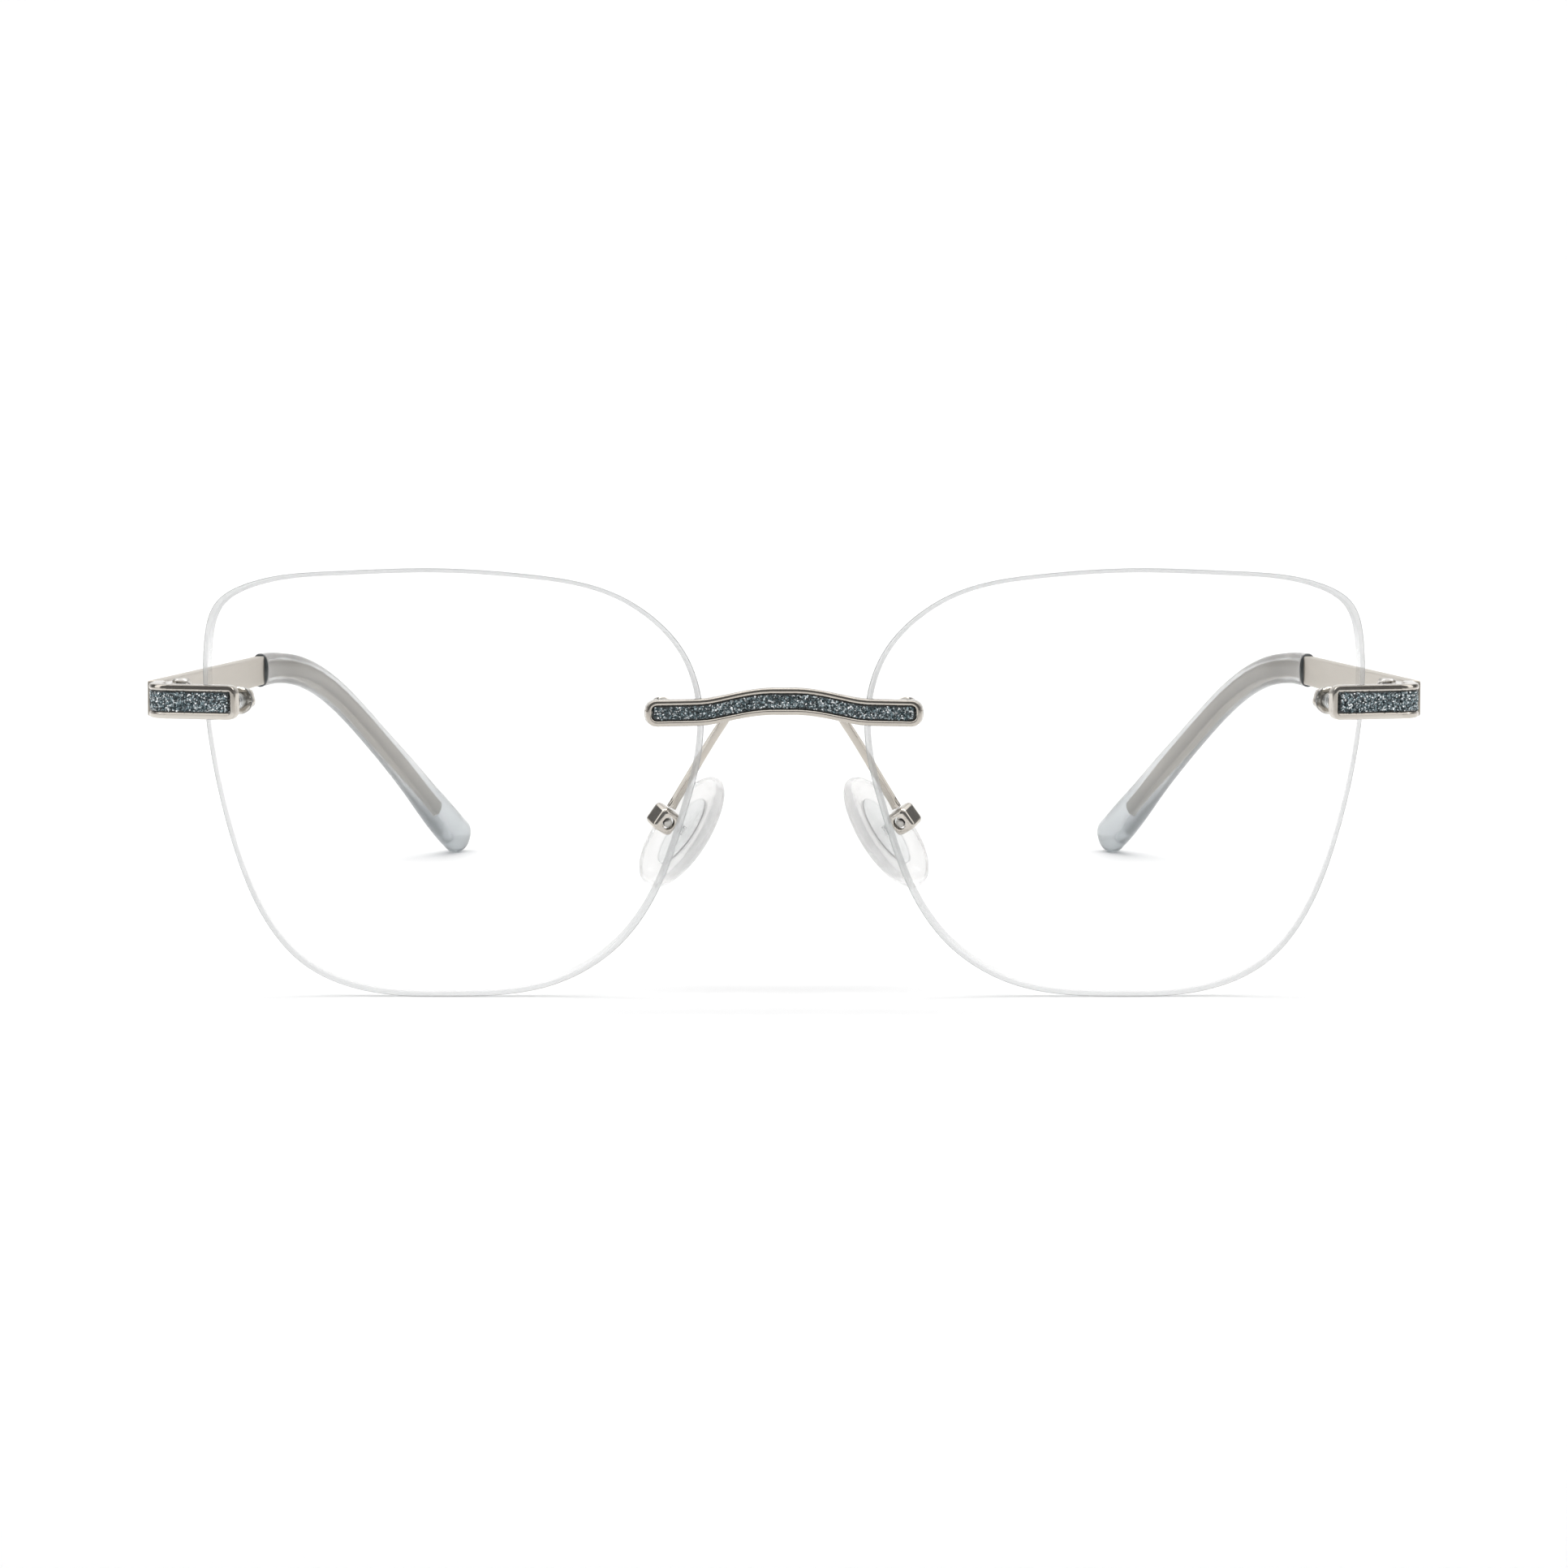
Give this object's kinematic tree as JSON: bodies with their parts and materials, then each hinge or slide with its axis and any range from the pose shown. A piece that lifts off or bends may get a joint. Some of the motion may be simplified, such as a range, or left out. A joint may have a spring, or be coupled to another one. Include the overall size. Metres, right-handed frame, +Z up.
{
  "type": "rimless eyeglasses",
  "caption": "Rimless eyeglasses with soft cornered lenses bolted to a sparkling inlaid bridge and end pieces, folding temples with clear grey tips, and rocking nose pads.",
  "frame": {"origin": "on the plane the glasses stand on, under the middle of their bounding box with the temples open", "axes": "+X to the wearer's left, -Y the way the lenses face, +Y along the open temples, +Z up"},
  "size_m": [0.1416, 0.1392, 0.0478],
  "materials": {
    "lens_clear": "clear polished optical plastic with a ground edge",
    "polished_nickel": "polished warm nickel plating",
    "satin_nickel": "satin warm nickel, brushed along the temple",
    "glitter": "dark resin filled with blue grey and silver flakes",
    "silicone": "clear soft silicone",
    "clear_plastic": "clear nylon",
    "grey_acetate": "translucent cool grey acetate",
    "screw_steel": "turned stainless steel"
  },
  "bodies": {
    "front": {"bridge_bar": "polished_nickel", "bridge_inlay": "glitter", "lens_left": "lens_clear", "lens_right": "lens_clear", "bridge_stud_left": "screw_steel", "bridge_stud_right": "screw_steel", "bridge_sleeve_left": "clear_plastic", "bridge_sleeve_right": "clear_plastic", "bridge_washer_left": "clear_plastic", "bridge_washer_right": "clear_plastic", "bridge_nut_left": "polished_nickel", "bridge_nut_right": "polished_nickel", "end_stud_left": "screw_steel", "end_stud_right": "screw_steel", "end_sleeve_left": "clear_plastic", "end_sleeve_right": "clear_plastic", "end_washer_left": "clear_plastic", "end_washer_right": "clear_plastic", "end_nut_left": "polished_nickel", "end_nut_right": "polished_nickel", "end_piece_left": "polished_nickel", "end_piece_right": "polished_nickel", "end_inlay_left": "glitter", "end_inlay_right": "glitter", "hinge_front_left": "polished_nickel", "hinge_front_right": "polished_nickel", "pad_arm_left": "polished_nickel", "pad_arm_right": "polished_nickel", "pad_box_left": "polished_nickel", "pad_box_right": "polished_nickel", "pad_screw_left": "screw_steel", "pad_screw_right": "screw_steel"},
    "temple_left": {"hinge_rear_left": "polished_nickel", "hinge_screw_left": "screw_steel", "temple_bar_left": "satin_nickel", "temple_tip_left": "grey_acetate"},
    "temple_right": {"hinge_rear_right": "polished_nickel", "hinge_screw_right": "screw_steel", "temple_bar_right": "satin_nickel", "temple_tip_right": "grey_acetate"},
    "pad_left": {"pad_core_left": "clear_plastic", "nose_pad_left": "silicone"},
    "pad_right": {"pad_core_right": "clear_plastic", "nose_pad_right": "silicone"}
  },
  "joints": [
    {"name": "temple_left_fold", "type": "hinge", "parent": "front", "child": "temple_left", "pos_m": [0.0673, -0.05914, 0.033], "axis": [0, 0, 1], "range_deg": [0, 82]},
    {"name": "temple_right_fold", "type": "hinge", "parent": "front", "child": "temple_right", "pos_m": [-0.0673, -0.05914, 0.033], "axis": [0, 0, -1], "range_deg": [0, 77]},
    {"name": "nose_pad_left_rock", "type": "hinge", "parent": "front", "child": "pad_left", "pos_m": [0.0136, -0.05644, 0.019], "axis": [0.4451, 0.8397, 0.3112], "range_deg": [-8, 8]},
    {"name": "nose_pad_right_rock", "type": "hinge", "parent": "front", "child": "pad_right", "pos_m": [-0.0136, -0.05644, 0.019], "axis": [-0.4451, 0.8397, 0.3112], "range_deg": [-8, 8]}
  ]
}
